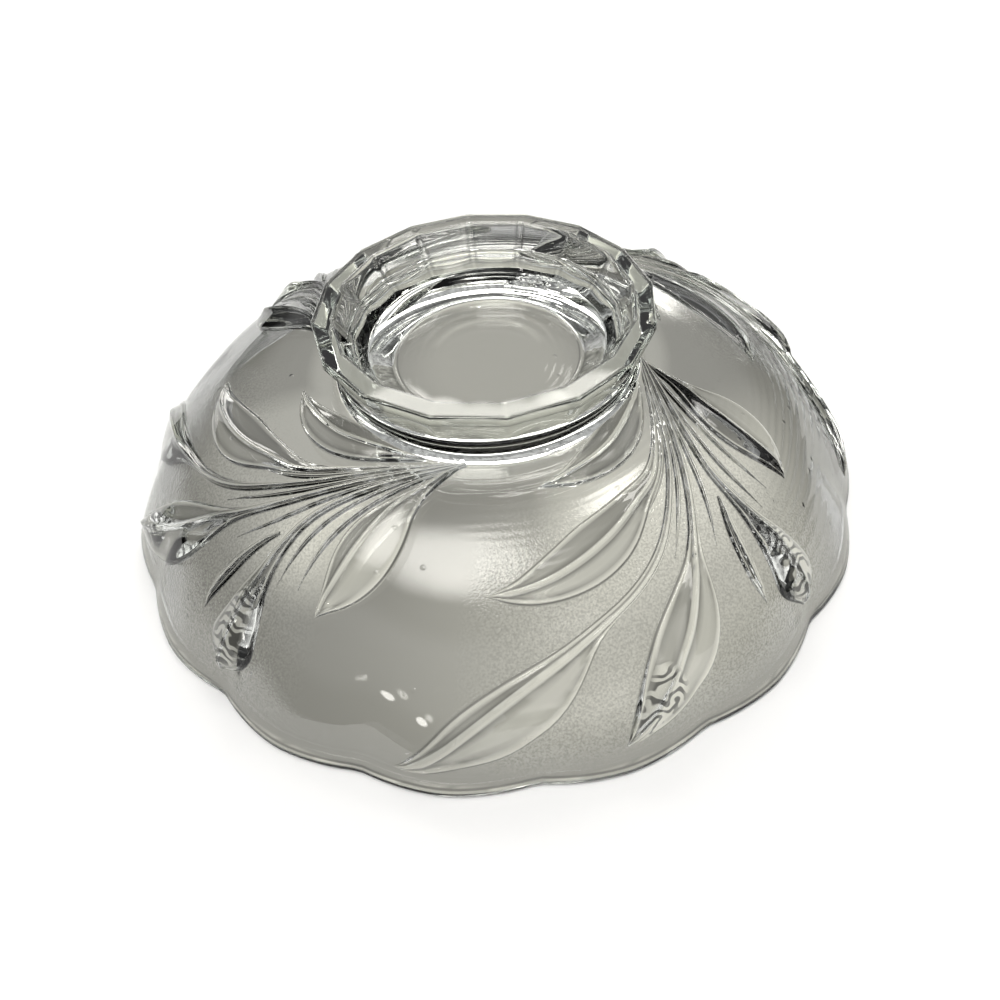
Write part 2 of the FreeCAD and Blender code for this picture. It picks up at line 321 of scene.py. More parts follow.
def spline_through(rows):
    """Natural cubic spline through rows of numbers, as a function of a share of its length."""
    rows = np.array(rows, float)
    steps = np.hypot(*np.diff(rows[:, :2], axis=0).T)
    knots = np.concatenate([[0], np.cumsum(steps)]) / steps.sum()
    count = len(knots)
    gaps = np.diff(knots)
    system = np.eye(count)
    right = np.zeros_like(rows)
    for i in range(1, count - 1):
        system[i, i - 1:i + 2] = gaps[i - 1], 2 * (gaps[i - 1] + gaps[i]), gaps[i]
        right[i] = 6 * ((rows[i + 1] - rows[i]) / gaps[i] - (rows[i] - rows[i - 1]) / gaps[i - 1])
    bends = np.linalg.solve(system, right)

    def at(share):
        i = min(count - 2, max(0, int(np.searchsorted(knots, share)) - 1))
        a, b = knots[i + 1] - share, share - knots[i]
        h = gaps[i]
        return (bends[i] * a ** 3 + bends[i + 1] * b ** 3) / (6 * h) \
            + (rows[i] / h - bends[i] * h / 6) * a + (rows[i + 1] / h - bends[i + 1] * h / 6) * b

    return at


print("leaves per spray:", len(leaf_rows), "strands:", len(strand_rows))

# %% [markdown]
# On the real bowl a leaf is a raised roof: two facets that meet in a crisp midrib, with a low step
# down to the ground all round, and two of them thicken to a lens near the tip. Glass looks dark
# at the foot of each step, so the same cross-section also gives painted light and shade: dark and
# bright lines and lighter or darker facets painted into the colour of the glass.

# %% Cross-section of a leaf
edge_band, vein_half = 1.15 * mm, 0.75 * mm
edge_height, vein_height, groove_depth = 1.05 * mm, 0.40 * mm, 0.30 * mm
ridge_share, ridge_most = 0.26, 2.4 * mm
least_width, narrow_width = 0.05 * mm, 2.4 * mm
leaf_clearance = 0.1 * mm
lens_height = 1.1 * mm
lens_start = {"notch": 0.73, "wide": 0.79}
# Plain level of painted shade that greys all of the glass, so that painted bright lines stand out.
plain_painted_shade = 0.44


def step_up(value):
    """Smooth step from 0 to 1."""
    value = min(1, max(0, value))
    return value * value * (3 - 2 * value)


def leaf_bands(half_width):
    """Half width of the vein and width of the edge, which both shrink with a narrow leaf."""
    return min(vein_half, 0.3 * half_width), min(edge_band, 0.34 * half_width)


def across_place(share, half_width):
    """Distance from the midrib of a column, which crowd at the vein and at the edge."""
    vein, band = leaf_bands(half_width)
    return float(np.interp(share, [0, 0.34, 0.62, 1], [0, vein, half_width - band, half_width]))


def lens(share, distance, half_width, start):
    """Share of the thick lens at the end of a leaf, which fades in from start."""
    across = min(1, distance / max(half_width, least_width))
    return step_up((share - start) / 0.07) * step_up((1 - share) / 0.05) * (1 - across * across)


def leaf_relief(distance, half_width, whole_width, is_ahead):
    """Height of a leaf over the dish at a distance from its midrib."""
    half_width = max(half_width, least_width)
    vein, band = leaf_bands(half_width)
    narrow = step_up(whole_width / narrow_width)
    ridge = min(ridge_most, ridge_share * whole_width + 0.2 * mm)
    edge = edge_height * narrow
    inward = (half_width - distance) / band
    rise = edge * step_up(inward)
    slope = max(0, 1 - distance / (half_width - band))
    facet = max(0, ridge - edge) * (slope ** 1.5 if is_ahead else slope)
    groove = groove_depth * narrow * math.exp(-((inward - 1.35) / 0.3) ** 2)
    vein_bead = vein_height * narrow * max(0, 1 - (distance / vein) ** 2) ** 0.7
    return leaf_clearance + rise + facet + vein_bead - groove


def leaf_painted_shading(distance, half_width, whole_width, is_ahead, share):
    """Painted light and shade of the glass at a distance from the midrib, from 0 for painted dark to 1 for
    painted bright.
    """
    half_width = max(half_width, least_width)
    vein, band = leaf_bands(half_width)
    inward = (half_width - distance) / band
    from_vein = distance / vein
    # Painted shade: the facet ahead is painted darker than the facet behind, and both lighter towards the
    # tip.
    facet = 0.20 if is_ahead else 0.50
    facet += (0.24 if is_ahead else 0.2) * step_up((share - 0.55) / 0.45)
    # Painted dark and bright lines along the step at the edge, and beside the vein.
    stops = [0, 0.15, 0.35, 0.55, 0.75, 1.25, 1.6, 2.3]
    painted_shading = float(np.interp(inward, stops, [plain_painted_shade, 0.36, 0.10, 0.16, 1.0, 1.0, 0.12, facet]))
    if inward > 1.6 and from_vein < 2.2:
        painted_shading = float(np.interp(from_vein, [0, 0.85, 1.15, 1.5, 2.2], [1.0, 1.0, 0.08, 0.10, facet]))
    return painted_shading


print("leaf 20 mm wide, height at the midrib:", round(leaf_relief(0, 10 * mm, 20 * mm, True), 5))

# %% [markdown]
# A grid is laid on the dish for each leaf, with its columns crowded where the section bends, and
# extruded down into the wall. That gives a closed solid that can be joined to the body.

# %% Lay one leaf on the dish
leaf_grid, strand_grid = (54, 28), (26, 10)
leaf_sink = 1.6 * mm
tip_share, small_share = 0.0015, 0.002


def leaf_mesh(rows, grid, lens_from=None):
    """Closed bmesh of one leaf in the first spray."""
    leaf = bmesh.new()
    along_layer = leaf.verts.layers.float.new("along")
    across_layer = leaf.verts.layers.float.new("across")
    painted_shading_layer = leaf.verts.layers.float.new("painted_shading")
    lens_layer = leaf.verts.layers.float.new("lens")
    bmesh.ops.create_grid(leaf, x_segments=grid[0], y_segments=grid[1], size=1)
    at = spline_through(rows)
    for vert in leaf.verts:
        vert[along_layer] = 1 - (1 - (vert.co.x + 1) / 2) ** 1.15
        vert[across_layer] = vert.co.y
        vert[painted_shading_layer] = plain_painted_shade

    def place(vert, lift):
        share = min(1, max(0, vert[along_layer]))
        column = vert[across_layer]
        x, y, ahead, behind = at(share)
        dx, dy = at(min(1, share + small_share))[:2] - at(max(0, share - small_share))[:2]
        length = math.hypot(dx, dy)
        half_width = max(tip_share, ahead if column > 0 else behind) * rim_radius
        distance = across_place(abs(column), half_width)
        offset = math.copysign(distance / rim_radius, column)
        x += dy / length * offset
        y -= dx / length * offset
        plan_radius = math.hypot(x, y) * rim_radius
        if lift is None:
            whole_width = max(0, ahead + behind) * rim_radius
            lift = leaf_relief(distance, half_width, whole_width, column > 0)
            # The raised vertices take the leaf's painted light and shade.
            vert[painted_shading_layer] = leaf_painted_shading(distance, half_width, whole_width, column > 0, share)
            if lens_from:
                thick = lens(share, distance, half_width, lens_from)
                lift += lens_height * thick
                vert[lens_layer] = thick
        radius, height = dish_point(plan_radius, lift)
        azimuth = math.atan2(y, x)
        return press((radius * math.cos(azimuth), radius * math.sin(azimuth), height))

    for vert in leaf.verts:
        vert.co = place(vert, -leaf_sink)
    raised = bmesh.ops.extrude_face_region(leaf, geom=leaf.faces[:])
    for item in raised["geom"]:
        if isinstance(item, bmesh.types.BMVert):
            item.co = place(item, None)
    bmesh.ops.recalc_face_normals(leaf, faces=leaf.faces)
    return leaf


def as_object(name, mesh_data):
    """Turns a bmesh into an object at the origin."""
    mesh = bpy.data.meshes.new(name)
    mesh_data.to_mesh(mesh)
    mesh_data.free()
    made = bpy.data.objects.new(name, mesh)
    bpy.context.scene.collection.objects.link(made)
    return made


# The body starts with the plain painted shade all over.
painted_shading_layer = body.verts.layers.float.new("painted_shading")
body.verts.layers.float.new("lens")
for vert in body.verts:
    vert[painted_shading_layer] = plain_painted_shade
glass = as_object("pressed_glass", body)
leaf_collection = bpy.data.collections.new("leaves")
bpy.context.scene.collection.children.link(leaf_collection)
for name, rows in (leaf_rows | strand_rows).items():
    grid = leaf_grid if name in leaf_rows else strand_grid
    first = as_object(f"leaf_{name}", leaf_mesh(rows, grid, lens_start.get(name)))
    bpy.context.scene.collection.objects.unlink(first)
    for k in range(spray_count):
        made = bpy.data.objects.new(f"leaf_{name}_{k}", first.data.copy())
        made.data.transform(Matrix.Rotation(k * 2 * math.pi / spray_count, 4, "Z"))
        leaf_collection.objects.link(made)
    bpy.data.objects.remove(first)

# %% [markdown]
# The leaves are joined to the body with a boolean union, so the whole pressing is one skin of
# glass. Separate touching pieces of glass would show false surfaces inside the wall.

# %% Join the leaves to the body
union = glass.modifiers.new("leaves", "BOOLEAN")
union.operation = "UNION"
union.operand_type = "COLLECTION"
union.collection = leaf_collection
union.solver = "MANIFOLD"
depsgraph = bpy.context.evaluated_depsgraph_get()
joined = bpy.data.meshes.new_from_object(glass.evaluated_get(depsgraph), depsgraph=depsgraph)
glass.modifiers.clear()
glass.data = joined
for made in list(leaf_collection.objects):
    bpy.data.objects.remove(made)
bpy.data.collections.remove(leaf_collection)
for polygon in joined.polygons:
    polygon.use_smooth = True
joined.set_sharp_from_angle(angle=math.radians(24))
triangles = sum(len(polygon.vertices) - 2 for polygon in joined.polygons)
print("joined:", len(joined.vertices), "vertices,", triangles, "triangles")

# %% [markdown]
# The ground round the leaves has the fine stipple of a sand-blasted mould, and the panels between
# the sprays are smooth. To say where a surface is stippled, and where the glass is painted dark or
# left clear, the script first works out where each vertex lies: its distance from the axis, its
# height, its direction, its lift over the outside of the dish and its turn within its own spray.

# %% Where each vertex lies
places = np.empty(len(joined.vertices) * 3)
joined.vertices.foreach_get("co", places)
places = places.reshape(-1, 3)
height = places[:, 2]
plan = np.hypot(places[:, 0], places[:, 1])
azimuths = np.arctan2(places[:, 1], places[:, 0])
lift = np.where(plan <= shoulder_radius,
                np.hypot(plan - crown_centre[0], height - crown_centre[1]) - crown_arc,
                np.hypot(plan - rim_centre[0], height - rim_centre[1]) - rim_arc)
turned = (np.degrees(azimuths) - 180) % (360 / spray_count)


def drawn(lengths, stops, levels, start=0):
    """Levels read off a drawn line whose stops are in millimetres from start."""
    return np.interp(lengths, start + np.array(stops) * mm, levels)


print("lift over the dish from", round(lift.min(), 4), "to", round(lift.max(), 4))

# %% [markdown]
# The stipple is strongest in the quarter that a spray covers and fades out on both sides of it. It
# lies on the outside only, between the leaves, and stops short of the polished rim.

# %% Mark the stippled ground
ground_below, ground_above = -2.4 * mm, 0.15 * mm
stipple_mask = drawn(plan, [66, 84, 123, 127], [0, 1, 1, 0])
stipple_mask *= np.interp(turned, [0, 8, 54, 64, 84, 90], [0.8, 1, 1, 0, 0, 0.8])
stipple_mask *= (lift > ground_below) & (lift < ground_above)
stipple_layer = joined.attributes.new("stipple", "FLOAT", "POINT")
stipple_layer.data.foreach_set("value", stipple_mask.astype(np.float32))
print("stippled share of the vertices:", round(float((stipple_mask > 0.1).mean()), 2))

# %% [markdown]
# Thick pressed glass bends light so strongly that its edges show as dark and bright lines, and
# these are painted into the glass as painted light and shade. The painted shading at each vertex
# goes from 0 for painted dark to 1 for clear. The leaves bring theirs through the union, and the
# vertices of the new seams have none, so they get the plain one. The ground is painted lighter
# among the stems and round the root of the collar.

# %% Tone of the dish
least_painted_shading = 0.02
fan_painted_light, root_painted_light = 0.56, 0.45
painted_shading_values = np.empty(len(joined.vertices), np.float32)
joined.attributes["painted_shading"].data.foreach_get("value", painted_shading_values)
print("seam vertices without a tone:", int((painted_shading_values < least_painted_shading).sum()))
painted_shading_values = np.where(painted_shading_values < least_painted_shading, plain_painted_shade, painted_shading_values)
is_leaf = np.abs(painted_shading_values - plain_painted_shade) > 1e-4
# Painted light: the ground among the stems and round the collar's root is painted lighter.
fan = drawn(plan, [48, 56, 80, 104], [0, 1, 1, 0]) * np.interp(turned, [10, 20, 56, 66], [0, 1, 1, 0])
painted_shading_values = np.where(is_leaf, painted_shading_values, plain_painted_shade + fan_painted_light * fan)
root = drawn(plan, [54, 57, 62], [root_painted_light, root_painted_light, 0]) * (lift > -2 * mm)
painted_shading_values = np.where(is_leaf, painted_shading_values, np.maximum(painted_shading_values, plain_painted_shade + root))
is_inside = (height < bowl_top - 2 * mm) & (lift < -4 * mm)
painted_shading_values = np.where(is_inside, 1.0, painted_shading_values)
print("leaf vertices:", int(is_leaf.sum()), "inside vertices:", int(is_inside.sum()))

# %% [markdown]
# Seen edge on, the fire-polished rim is a painted bright line between two painted dark ones. It
# follows the lobes, so the zone is measured from the lobed edge.

# %% Tone of the rim
rim_zone_height, rim_zone_width = 4.2 * mm, 3.4 * mm
rim_plan = rim_radius - np.array([lobe_cut(a, 0) for a in azimuths])
on_rim = (height < rim_zone_height) & ~is_leaf & (plan > rim_plan - rim_zone_width) & (lift > -wall / 2)
# Painted highlight between two painted dark lines along the rim.
rim_painted_lines = drawn(height, [0, 0.4, 0.9, 2.4, 2.85, 3.2, 3.6], [0.4, 0.12, 1.0, 1.0, 0.10, 0.12, plain_painted_shade])
painted_shading_values = np.where(on_rim, rim_painted_lines, painted_shading_values)
print("rim vertices:", int(on_rim.sum()))

# %% [markdown]
# In the hollow of the foot the flat disc is calm, with two faint painted bright arcs at the back.
# The slope round it glitters with painted glints, which a little seeded chance gives, and the ledge
# is a painted bright line. Each panel above it starts in a shallow scallop, painted as a dark line,
# and has a painted bright line at its corners with painted shade beside it.

# %% Tone of the hollow and its panels
disc_calm, hollow_reach = 28 * mm, 46 * mm
glitter_from, glitter_to = 33.4 * mm, 38.6 * mm
ledge_low, ledge_high = bowl_top + 5.6 * mm, bowl_top + 8.2 * mm
panel_width = 42 * panel_step
scallop_low, scallop_rise = 8.6, 2.0
corner_line, corner_shadow = 0.5, 1.4
corner_gap = (panel_step / 2 - np.abs(from_panel_middle(azimuths))) * plan / mm
# Painted dark and bright lines round the disc, painted bright arcs at the back and painted glints on the
# slope.
by_radius = drawn(plan, [30, 30.7, 31.1, 31.6, 32.4, 32.9, 33.6], [0.5, 0.5, 0.08, 1.0, 1.0, 0.12, 0.7])
behind = np.clip(np.sin(azimuths) * 1.6 - 0.3, 0, 1)
arcs = 0.9 * np.exp(-((plan / mm - 18.5) / 1.1) ** 2) + 0.55 * np.exp(-((plan / mm - 23.2) / 0.7) ** 2)
by_radius += np.where(plan < disc_calm, 0.5 * arcs * behind, 0)
painted_glitter = np.random.default_rng(7).uniform(-0.55, 0.3, len(plan))
by_radius += np.where((plan > glitter_from) & (plan < glitter_to), painted_glitter, 0)
# Painted dark and bright lines at the ledge and along the scallop of each panel.
by_height = drawn(height, [5.6, 6.2, 6.6, 7.6, 8.2, 9], [0.7, 0.15, 1.0, 1.0, 0.3, 1.0], bowl_top)
across_panel = np.clip(corner_gap / (panel_width / 2), 0, 1)
scallop = scallop_low + scallop_rise * (1 - np.sin(across_panel * math.pi / 2))
above_scallop = (height - bowl_top) / mm - scallop
panel_painted_lines = np.interp(above_scallop, [-1.2, 0, 1.4, 2.6, 6], [1.0, 0.45, 1.0, 1.0, 0.9])
panel_painted_lines = np.where(corner_gap < corner_line, 1.0, np.where(corner_gap < corner_shadow, 0.35, panel_painted_lines))
upper_painted_shading = np.where(height < ledge_high, by_height, panel_painted_lines)
hollow_painted_shading = np.where(height < ledge_low, by_radius, upper_painted_shading)
is_hollow = (height > bowl_top - 0.1 * mm) & (plan < hollow_reach)
painted_shading_values = np.where(is_hollow & ~is_leaf, hollow_painted_shading, painted_shading_values)
print("hollow vertices:", int(is_hollow.sum()))

# %% [markdown]
# The standing ring is painted bright with a painted thin dark line inside each edge. The outside
# of the foot is clear down to the flange's own underside, with a painted dark band at the flange,
# and the bead is a painted bright roll between softer edges. The sixteen sides are not round, so
# the ring is measured square to its own side.

# %% Tone of the standing ring and the bead
is_high = (height > collar_top + 0.3 * mm) & (plan >= 44 * mm)
inner_edge = plan * np.cos(np.abs(from_panel_middle(azimuths)))
outer_edge = inner_edge / math.cos(panel_step / 2)
# Painted bright ring with painted thin dark lines at its edges.
ring_painted_lines = drawn(outer_edge, [48.2, 48.8, 49.4, 50.2, 53, 54.2, 54.7, 55.1],
                  [1.0, 0.08, 1.0, 0.85, 0.9, 1.0, 0.08, 0.6])
ring_painted_lines = np.where(corner_gap < 0.4, 1.0, ring_painted_lines)
side_painted_lines = drawn(height, [8.6, 9.1, 9.6, 10.8, 11.6], [1.0, 0.10, 0.10, 0.12, 1.0], collar_top)
ring_painted_lines = np.where(height > foot_top - 0.2 * mm, ring_painted_lines, side_painted_lines)
painted_shading_values = np.where(is_high & (plan > hollow_reach), ring_painted_lines, painted_shading_values)
is_upper_panel = (plan <= 48.4 * mm) & (height < foot_top - 0.6 * mm) & (inner_edge < 47.3 * mm)
painted_shading_values = np.where(is_high & is_upper_panel, panel_painted_lines, painted_shading_values)
is_bead = (height > bowl_top + collar_root_height) & (height <= collar_top + 0.3 * mm)
is_bead &= plan > hollow_reach
bead_painted_lines = drawn(height, [-3.8, -3.4, -0.3, 0], [0.5, 1.0, 1.0, 0.6], collar_top)
painted_shading_values = np.where(is_bead, bead_painted_lines, painted_shading_values)
painted_shading_values = np.clip(painted_shading_values, least_painted_shading, 1)
joined.attributes["painted_shading"].data.foreach_set("value", painted_shading_values.astype(np.float32))
print("tones from", round(float(painted_shading_values.min()), 2), "to", round(float(painted_shading_values.max()), 2))

# %% [markdown]
# The shaders are built from few kinds of nodes, so small helpers make them. Each helper takes the
# node tree that it adds to, and sets or links the inputs that it is given.

# %% Helpers for shader nodes
def add_node(tree, kind, values=None, **settings):
    """Adds a node with its settings, and with each input set to a number or linked to an output."""
    node = tree.nodes.new(kind)
    for name, value in settings.items():
        setattr(node, name, value)
    for socket, value in (values or {}).items():
        if isinstance(value, bpy.types.NodeSocket):
            tree.links.new(value, node.inputs[socket])
        else:
            node.inputs[socket].default_value = value
    return node


def add_math(tree, operation, first, second):
    """Result of a sum on two values."""
    return add_node(tree, "ShaderNodeMath", {0: first, 1: second}, operation=operation).outputs["Value"]


def add_fade(tree, value, start, end, low=0, high=1, shape="SMOOTHSTEP"):
    """Result of a fade from low at start to high at end."""
    ends = {"Value": value, "From Min": start, "From Max": end, "To Min": low, "To Max": high}
    return add_node(tree, "ShaderNodeMapRange", ends, interpolation_type=shape).outputs["Result"]


def add_mix(tree, factor, first, second, **settings):
    """Result of a mix of two colours."""
    colours = {"Factor": factor, "A": first, "B": second}
    return add_node(tree, "ShaderNodeMix", colours, data_type="RGBA", **settings).outputs["Result"]


def add_noise(tree, place, scale):
    """Result of a noise with two octaves."""
    return add_node(tree, "ShaderNodeTexNoise", {"Vector": place, "Scale": scale, "Detail": 1}).outputs["Fac"]


def add_rings(tree, place, scale, distortion, detail, detail_scale):
    """Result of distorted rings round the bowl's axis."""
    values = {"Vector": place, "Scale": scale, "Distortion": distortion, "Detail": detail,
              "Detail Scale": detail_scale}
    return add_node(tree, "ShaderNodeTexWave", values, wave_type="RINGS", rings_direction="Z",
                    wave_profile="SIN").outputs["Fac"]


def add_bump(tree, relief, distance, under=None):
    """Normal of a relief that is distance high, laid over the relief under it."""
    values = {"Height": relief, "Strength": 1, "Distance": distance}
    if under is not None:
        values["Normal"] = under
    return add_node(tree, "ShaderNodeBump", values).outputs["Normal"]


def new_material(name):
    """Node material with one Principled shader."""
    made = bpy.data.materials.new(name)
    made.use_nodes = True
    return made


print("node helpers ready")

# %% [markdown]
# Clear soda-lime glass: a Principled shader with full transmission and the index of window glass,
# and a faint absorption that turns thick edges grey-green.

# %% Clear glass
material = new_material("pressed_glass")
tree = material.node_tree
shader = tree.nodes["Principled BSDF"]
shader.inputs["Base Color"].default_value = (1, 1, 1, 1)
shader.inputs["Roughness"].default_value = 0.0
shader.inputs["IOR"].default_value = 1.52
shader.inputs["Transmission Weight"].default_value = 1
tint = add_node(tree, "ShaderNodeVolumeAbsorption", {"Color": (0.78, 0.86, 0.77, 1), "Density": 12})
tree.links.new(tint.outputs["Volume"], tree.nodes["Material Output"].inputs["Volume"])
place_on = add_node(tree, "ShaderNodeTexCoord").outputs["Object"]
print("index of the glass:", round(shader.inputs["IOR"].default_value, 2))

# %% [markdown]
# Hot glass chills where it first meets the iron, which leaves faint rings in patches. Fire
# polishing leaves a slow swell on the dish, and the foot stays flat. The stippled ground has a
# fine grain, and a few small gas bubbles, called seeds, lie just below the surface. Each is a
# relief of less than a third of a millimetre, so bumps are enough.

# %% Relief too fine to model
patch_mask = add_fade(tree, add_noise(tree, place_on, 16), 0.5, 0.75, shape="LINEAR")
chill = add_math(tree, "MULTIPLY", add_rings(tree, place_on, 120, 3, 2, 0.4), patch_mask)
in_plan = add_node(tree, "ShaderNodeVectorMath", {0: place_on, 1: (1, 1, 0)}, operation="MULTIPLY")
plan_radius = add_node(tree, "ShaderNodeVectorMath", {0: in_plan.outputs["Vector"]}, operation="LENGTH")
on_dish = add_fade(tree, plan_radius.outputs["Value"], 56 * mm, 68 * mm, shape="LINEAR")
swell = add_math(tree, "MULTIPLY", add_noise(tree, place_on, 38), on_dish)
stipple = add_node(tree, "ShaderNodeAttribute", attribute_name="stipple").outputs["Fac"]
grain = add_math(tree, "MULTIPLY", add_noise(tree, place_on, 1500), stipple)
seed_cells = add_node(tree, "ShaderNodeTexVoronoi", {"Vector": place_on, "Scale": 95})
seeds = add_fade(tree, seed_cells.outputs["Distance"], 0.03, 0.09, low=1, high=0, shape="LINEAR")
relief = None
for layer, depth in ((chill, 0.05 * mm), (swell, 0.28 * mm), (grain, 0.12 * mm), (seeds, 0.12 * mm)):
    relief = add_bump(tree, layer, depth, relief)
tree.links.new(relief, shader.inputs["Normal"])
print("bumps:", sum(node.type == "BUMP" for node in tree.nodes))

# %% [markdown]
# The painted light and shade that the mesh carries become the colour of the glass. The thick lens
# at the end of a leaf is painted with crowded dark and bright waves, the stippled ground is painted
# with sparkle from grain to grain, and glass seen edge on is painted darker, as painted shade for
# its thicker path.

# %% Tone in the glass
painted_shading = add_node(tree, "ShaderNodeAttribute", attribute_name="painted_shading").outputs["Fac"]
lens_share = add_node(tree, "ShaderNodeAttribute", attribute_name="lens").outputs["Fac"]
# Painted waves of dark and bright in the lens.
painted_waves = add_fade(tree, add_rings(tree, place_on, 135, 11, 1, 1.2), 0.30, 0.62, low=0.04)
in_lens = add_fade(tree, lens_share, 0.45, 0.75, shape="LINEAR")
lens_painted_shading = add_mix(tree, in_lens, painted_shading, painted_waves)
# Painted sparkle on the stippled ground.
painted_sparkle = add_fade(tree, add_noise(tree, place_on, 1500), 0.35, 0.65, low=0.78, high=1.35, shape="LINEAR")
with_painted_sparkle = add_mix(tree, stipple, lens_painted_shading, painted_sparkle, blend_type="MULTIPLY", clamp_result=True)
grazing = add_node(tree, "ShaderNodeLayerWeight", {"Blend": 0.30}).outputs["Facing"]
# Painted shade: glass seen edge on is painted dark grey-green.
painted_edge_shade = add_fade(tree, grazing, 0.30, 0.85, high=0.85)
tree.links.new(add_mix(tree, painted_edge_shade, with_painted_sparkle, (0.13, 0.145, 0.12, 1)), shader.inputs["Base Color"])
glass.data.materials.clear()
glass.data.materials.append(material)
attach(glass, "root")
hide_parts(*sorted(frame["nodes"]))
print("nodes in the glass:", len(tree.nodes))

# %% [markdown]
# The bowl stands on a wide pale floor, which takes its soft shadow.

# %% Floor
def paint_plain(made, colour):
    """Makes a material a dull paint of one colour."""
    paint = made.node_tree.nodes["Principled BSDF"]
    paint.inputs["Base Color"].default_value = colour
    paint.inputs["Roughness"].default_value = 0.9
    paint.inputs["Specular IOR Level"].default_value = 0


floor_size = 6
floor_mesh = bmesh.new()
bmesh.ops.create_grid(floor_mesh, x_segments=1, y_segments=1, size=floor_size)
floor = as_object("floor", floor_mesh)
floor.data.transform(Matrix.Translation((0, 0, -0.2 * mm)))
floor_paint = new_material("floor")
paint_plain(floor_paint, (0.91, 0.915, 0.93, 1))
floor.data.materials.append(floor_paint)
print("floor:", [round(side, 1) for side in floor.dimensions])

# %% [markdown]
# Clear glass shows what lies behind it. The bowl was pictured over a grey ground and then cut out
# on white, so a grey mat with the outline of the rim lies on the floor under the bowl.

# %% Grey mat under the bowl
mat_radius = rim_radius - 2.2 * mm
mat_mesh = bmesh.new()
bmesh.ops.create_circle(mat_mesh, cap_ends=True, segments=768, radius=mat_radius)
for vert in mat_mesh.verts:
    vert.co *= 1 - lobe_cut(math.atan2(vert.co.y, vert.co.x), 0) / vert.co.length
mat = as_object("grey_mat", mat_mesh)
mat.data.transform(Matrix.Translation((0, 0, -0.1 * mm)))
mat_material = new_material("grey_mat")
paint_plain(mat_material, (0.80, 0.80, 0.77, 1))
mat.data.materials.append(mat_material)
print("mat:", [round(side, 3) for side in mat.dimensions])

# %% [markdown]
# The grey carries painted light: it is painted lighter towards the front right, behind the foot,
# among the stems of the left spray and close under the rim. Each of these is a soft zone, from 0
# where it starts to 1 where it is full, with both places in metres. Where zones meet, the lightest
# wins.

# %% Light and dark zones of the mat
tree = mat_material.node_tree
mat_place = add_node(tree, "ShaderNodeTexCoord").outputs["Object"]
mat_axes = add_node(tree, "ShaderNodeSeparateXYZ", {0: mat_place})
mat_x, mat_y = mat_axes.outputs["X"], mat_axes.outputs["Y"]
from_axis = add_node(tree, "ShaderNodeVectorMath", {0: mat_place}, operation="LENGTH").outputs["Value"]


def spot(centre, start, end):
    """Soft round zone of the mat."""
    distance = add_node(tree, "ShaderNodeVectorMath", {0: mat_place, 1: centre}, operation="DISTANCE")
    return add_fade(tree, distance.outputs["Value"], start, end)


def both(first, second):
    """Where two zones of the mat overlap, or a weaker or stronger zone if second is a number."""
    return add_math(tree, "MULTIPLY", first, second)


def lightest(first, second):
    """The lighter of two zones of the mat."""
    return add_math(tree, "MAXIMUM", first, second)


# Painted light: each zone below paints the mat lighter, as seen through the glass.
towards_front = add_math(tree, "SUBTRACT", both(mat_x, 0.5), mat_y)
front_right = both(add_fade(tree, mat_x, -0.07, 0.04), add_fade(tree, towards_front, 0.012, 0.062))
front_right = both(front_right, add_fade(tree, from_axis, 0.132, 0.104))
in_foot = both(spot((0.0, 0.046, 0.0), 0.05, 0.02), 0.55)
among_stems = spot((-0.055, -0.040, 0.0), 0.036, 0.008)
short_of_right = add_fade(tree, mat_x, 0.128, 0.092)
under_rim = both(add_fade(tree, from_axis, 0.1238, 0.1258), 1.1)
near_middle = add_fade(tree, add_math(tree, "ABSOLUTE", mat_x, 0), 0.075, 0.045)
behind_foot = both(both(add_fade(tree, mat_y, 0.080, 0.096), near_middle), 2.0)
painted_light = both(lightest(lightest(front_right, in_foot), among_stems), short_of_right)
painted_light = lightest(lightest(painted_light, under_rim), behind_foot)
mat_painted_grey = add_mix(tree, painted_light, (0.395, 0.388, 0.345, 1), (0.70, 0.685, 0.60, 1), clamp_factor=False)
print("nodes in the mat:", len(tree.nodes))

# %% [markdown]
# The grey shows to the camera and through the glass only. To all other light the mat is pale
# paint like the floor, so it doesn't darken what the glass and the floor receive.

# %% Show the grey to the camera and through the glass
shown = add_node(tree, "ShaderNodeEmission", {"Color": mat_painted_grey})
mat_path = add_node(tree, "ShaderNodeLightPath")
is_seen = add_math(tree, "MAXIMUM", mat_path.outputs["Is Camera Ray"],
                   mat_path.outputs["Is Transmission Ray"])
pale = tree.nodes["Principled BSDF"].outputs["BSDF"]
mat_mix = add_node(tree, "ShaderNodeMixShader", {"Fac": is_seen, 1: pale, 2: shown.outputs["Emission"]})
tree.links.new(mat_mix.outputs["Shader"], tree.nodes["Material Output"].inputs["Surface"])
print("mat linked to", tree.nodes["Material Output"].inputs["Surface"].links[0].from_node.name)

# %% [markdown]
# The light is a soft studio: dark near the ground, brighter overhead, in bands that the curved
# glass mirrors as long smooth gradients.

# %% Studio light
world = bpy.data.worlds.new("studio")
world.use_nodes = True
bpy.context.scene.world = world
tree = world.node_tree
direction = add_node(tree, "ShaderNodeTexCoord").outputs["Generated"]
upward = add_node(tree, "ShaderNodeSeparateXYZ", {0: direction}).outputs["Z"]
bands = add_node(tree, "ShaderNodeValToRGB", {"Fac": upward})
bands.color_ramp.interpolation = "EASE"
stops = bands.color_ramp.elements
stops[0].position, stops[0].color = 0.02, (0.03, 0.03, 0.03, 1)
stops[1].position, stops[1].color = 0.97, (0.75, 0.75, 0.74, 1)
for position, level in ((0.20, 0.06), (0.40, 0.45), (0.55, 0.6), (0.72, 0.75), (0.84, 0.22), (0.90, 0.22)):
    stops.new(position).color = (level, level, level, 1)
glow = bands.outputs["Color"]
print("bands of light:", len(stops))

# %% [markdown]
# Small bright panels of light stand where the dish, the ring and the panels of the foot mirror
# them: overhead left for the broad glow, low in front for the glints near the rim, and behind for
# the ring. Each has a direction, a core and an outer edge, all in degrees, and a strength.

